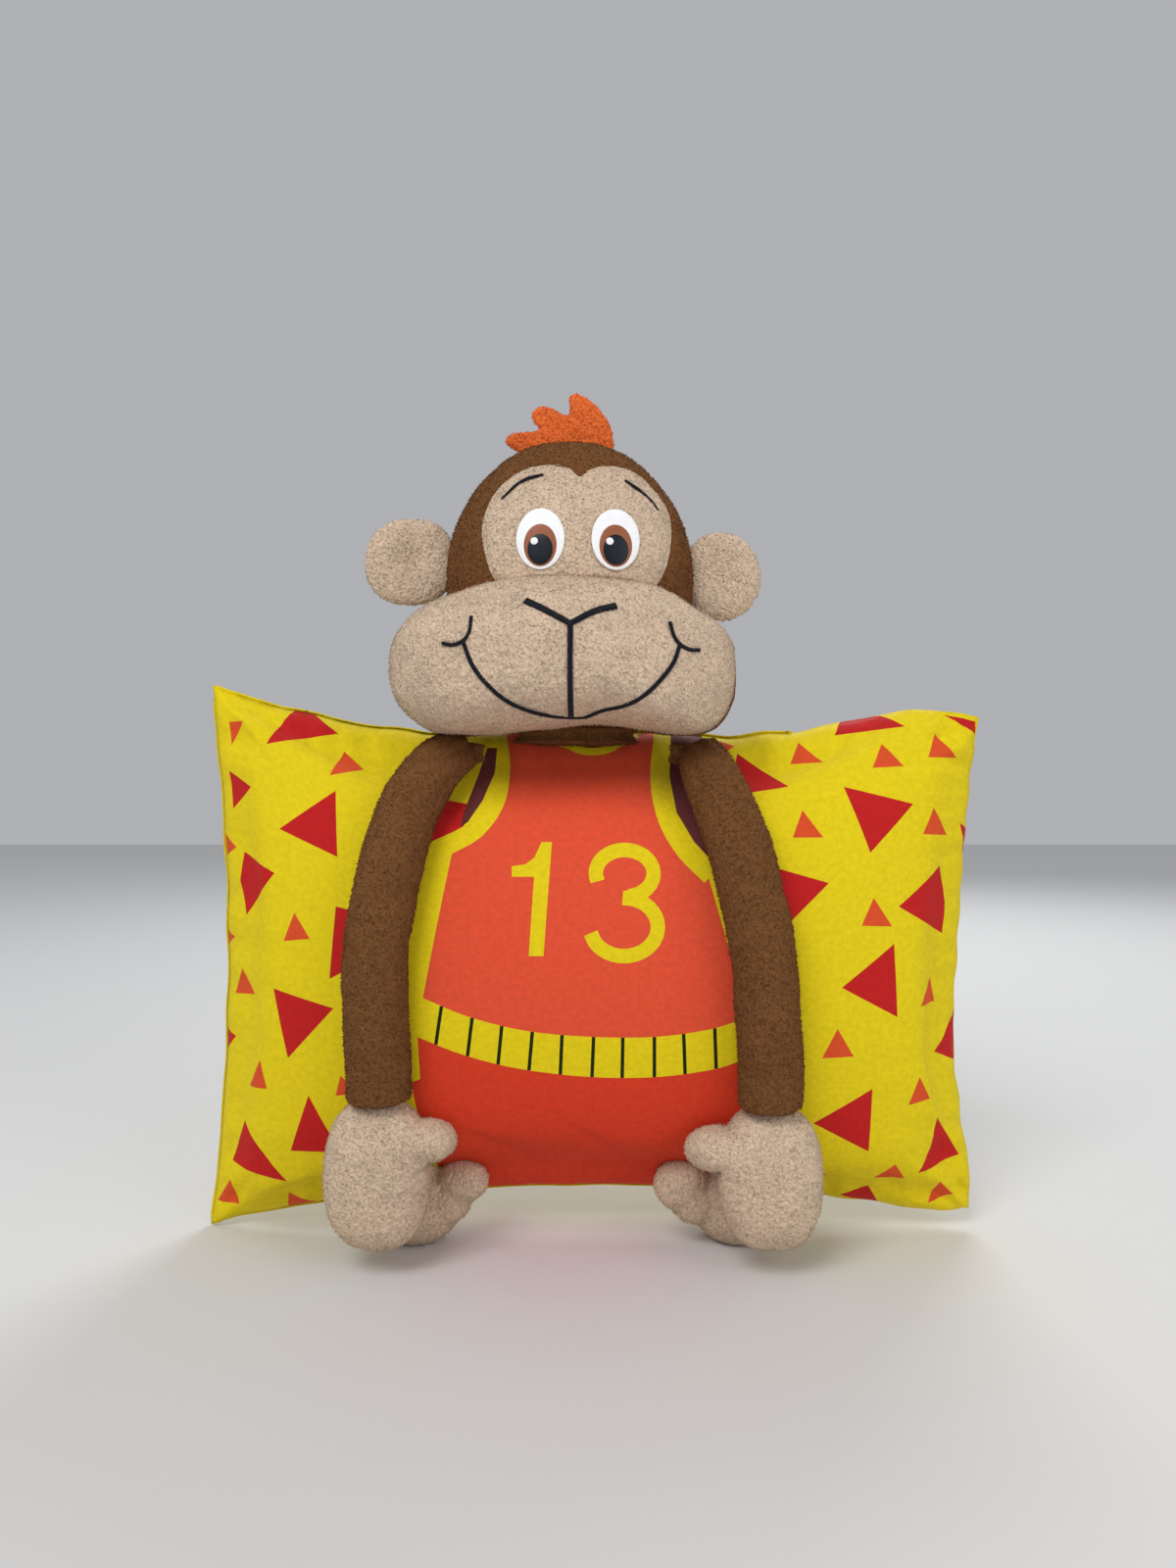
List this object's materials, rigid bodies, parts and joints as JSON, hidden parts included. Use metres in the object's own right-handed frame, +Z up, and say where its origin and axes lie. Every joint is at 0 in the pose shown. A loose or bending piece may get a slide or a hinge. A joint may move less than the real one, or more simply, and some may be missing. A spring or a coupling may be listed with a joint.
{
  "type": "stuffed monkey pillow toy",
  "caption": "Rectangular cushion toy whose printed cover carries a plush monkey: stuffed head with wide muzzle, dangling sleeve arms with mitten hands, and small feet.",
  "frame": {"origin": "middle of the toy's own box on the surface it stands on: +X is to the toy's left, -Y is the way it faces", "axes": "+Z up from the soles to the hair tuft, +Y out of the pillow's back"},
  "size_m": [0.43, 0.1572, 0.4621],
  "materials": {
    "printed_cotton": "plain woven cotton, printed, soft satin sheen",
    "brown_fleece": "anti-pill fleece, matte, short pebbled nap",
    "beige_fleece": "anti-pill fleece, matte, short pebbled nap",
    "orange_fleece": "anti-pill fleece, matte, short pebbled nap",
    "fibre_fill": "loose polyester fibre, matte",
    "eye_white": "satin applied film",
    "eye_brown": "satin applied film",
    "eye_black": "satin applied film",
    "dark_thread": "rayon embroidery thread, slight sheen"
  },
  "bodies": {
    "pillow": {"pillow_insert": "fibre_fill", "cover_front": "printed_cotton", "cover_back_main": "printed_cotton", "cover_back_flap": "printed_cotton"},
    "neck": {"neck_tab": "brown_fleece"},
    "head": {"skull_fill": "fibre_fill", "face_panel": "beige_fleece", "head_front": "brown_fleece", "head_back": "brown_fleece", "muzzle_fill": "fibre_fill", "muzzle_front": "beige_fleece", "muzzle_back": "brown_fleece", "nose_stitching": "dark_thread", "philtrum_stitching": "dark_thread", "smile_stitching": "dark_thread", "eye_white_right": "eye_white", "eye_iris_right": "eye_brown", "eye_pupil_right": "eye_black", "eye_glint_right": "eye_white", "brow_right": "dark_thread", "cheek_stitching_right": "dark_thread", "eye_white_left": "eye_white", "eye_iris_left": "eye_brown", "eye_pupil_left": "eye_black", "eye_glint_left": "eye_white", "brow_left": "dark_thread", "cheek_stitching_left": "dark_thread"},
    "tuft": {"tuft_front": "orange_fleece", "tuft_back": "orange_fleece"},
    "ear_right": {"ear_front_right": "beige_fleece", "ear_back_right": "beige_fleece"},
    "shoulder_right": {"shoulder_tab_right": "brown_fleece"},
    "upper_arm_right": {"sleeve_upper_right": "brown_fleece", "arm_fill_upper_right": "fibre_fill"},
    "forearm_right": {"sleeve_lower_right": "brown_fleece", "arm_fill_lower_right": "fibre_fill"},
    "hand_right": {"hand_fill_right": "fibre_fill", "hand_front_right": "beige_fleece", "hand_back_right": "beige_fleece"},
    "foot_right": {"foot_fill_right": "fibre_fill", "foot_front_right": "beige_fleece", "foot_back_right": "beige_fleece"},
    "ear_left": {"ear_front_left": "beige_fleece", "ear_back_left": "beige_fleece"},
    "shoulder_left": {"shoulder_tab_left": "brown_fleece"},
    "upper_arm_left": {"sleeve_upper_left": "brown_fleece", "arm_fill_upper_left": "fibre_fill"},
    "forearm_left": {"sleeve_lower_left": "brown_fleece", "arm_fill_lower_left": "fibre_fill"},
    "hand_left": {"hand_fill_left": "fibre_fill", "hand_front_left": "beige_fleece", "hand_back_left": "beige_fleece"},
    "foot_left": {"foot_fill_left": "fibre_fill", "foot_front_left": "beige_fleece", "foot_back_left": "beige_fleece"}
  },
  "joints": [
    {"name": "head_nod", "type": "hinge", "parent": "pillow", "child": "neck", "pos_m": [-0.014, 0.00211, 0.26914], "axis": [1, 0, 0], "range_deg": [-20, 5], "stiffness_Nm_per_rad": 1, "springref_deg": -0.86},
    {"name": "head_turn", "type": "hinge", "parent": "neck", "child": "head", "pos_m": [-0.014, 0.00211, 0.27414], "axis": [0, 0, 1], "range_deg": [-15, 15], "stiffness_Nm_per_rad": 0.5},
    {"name": "tuft_bend", "type": "hinge", "parent": "head", "child": "tuft", "pos_m": [-0.01, 0.00611, 0.4291], "axis": [1, 0, 0], "range_deg": [-15, 15], "stiffness_Nm_per_rad": 0.02},
    {"name": "ear_fold_right", "type": "hinge", "parent": "head", "child": "ear_right", "pos_m": [-0.082, 0.00411, 0.36614], "axis": [0, 0, 1], "range_deg": [-25, 25], "stiffness_Nm_per_rad": 0.02},
    {"name": "arm_swing_right", "type": "hinge", "parent": "pillow", "child": "shoulder_right", "pos_m": [-0.071, -0.01832, 0.26214], "axis": [0, 1, 0], "range_deg": [0, 55]},
    {"name": "arm_lift_right", "type": "hinge", "parent": "shoulder_right", "child": "upper_arm_right", "pos_m": [-0.071, -0.02132, 0.255], "axis": [-1, 0, 0], "range_deg": [0, 45]},
    {"name": "elbow_bend_right", "type": "hinge", "parent": "upper_arm_right", "child": "forearm_right", "pos_m": [-0.10058, -0.05528, 0.16601], "axis": [-1, 0, 0], "range_deg": [0, 45], "stiffness_Nm_per_rad": 0.03},
    {"name": "wrist_bend_right", "type": "hinge", "parent": "forearm_right", "child": "hand_right", "pos_m": [-0.106, -0.0489, 0.088], "axis": [-1, 0, 0], "range_deg": [0, 25], "stiffness_Nm_per_rad": 0.03},
    {"name": "foot_flex_right", "type": "hinge", "parent": "pillow", "child": "foot_right", "pos_m": [-0.102, 0.01711, 0.01876], "axis": [1, 0, 0], "range_deg": [-3, 12], "stiffness_Nm_per_rad": 2},
    {"name": "ear_fold_left", "type": "hinge", "parent": "head", "child": "ear_left", "pos_m": [0.054, 0.00411, 0.36614], "axis": [0, 0, 1], "range_deg": [-25, 25], "stiffness_Nm_per_rad": 0.02},
    {"name": "arm_swing_left", "type": "hinge", "parent": "pillow", "child": "shoulder_left", "pos_m": [0.051, -0.01788, 0.26214], "axis": [0, -1, 0], "range_deg": [0, 55]},
    {"name": "arm_lift_left", "type": "hinge", "parent": "shoulder_left", "child": "upper_arm_left", "pos_m": [0.051, -0.02088, 0.255], "axis": [-1, 0, 0], "range_deg": [0, 45]},
    {"name": "elbow_bend_left", "type": "hinge", "parent": "upper_arm_left", "child": "forearm_left", "pos_m": [0.08058, -0.0577, 0.16601], "axis": [-1, 0, 0], "range_deg": [0, 45], "stiffness_Nm_per_rad": 0.03},
    {"name": "wrist_bend_left", "type": "hinge", "parent": "forearm_left", "child": "hand_left", "pos_m": [0.086, -0.05118, 0.088], "axis": [-1, 0, 0], "range_deg": [0, 25], "stiffness_Nm_per_rad": 0.03},
    {"name": "foot_flex_left", "type": "hinge", "parent": "pillow", "child": "foot_left", "pos_m": [0.082, 0.01711, 0.02028], "axis": [1, 0, 0], "range_deg": [-3, 12], "stiffness_Nm_per_rad": 2}
  ]
}
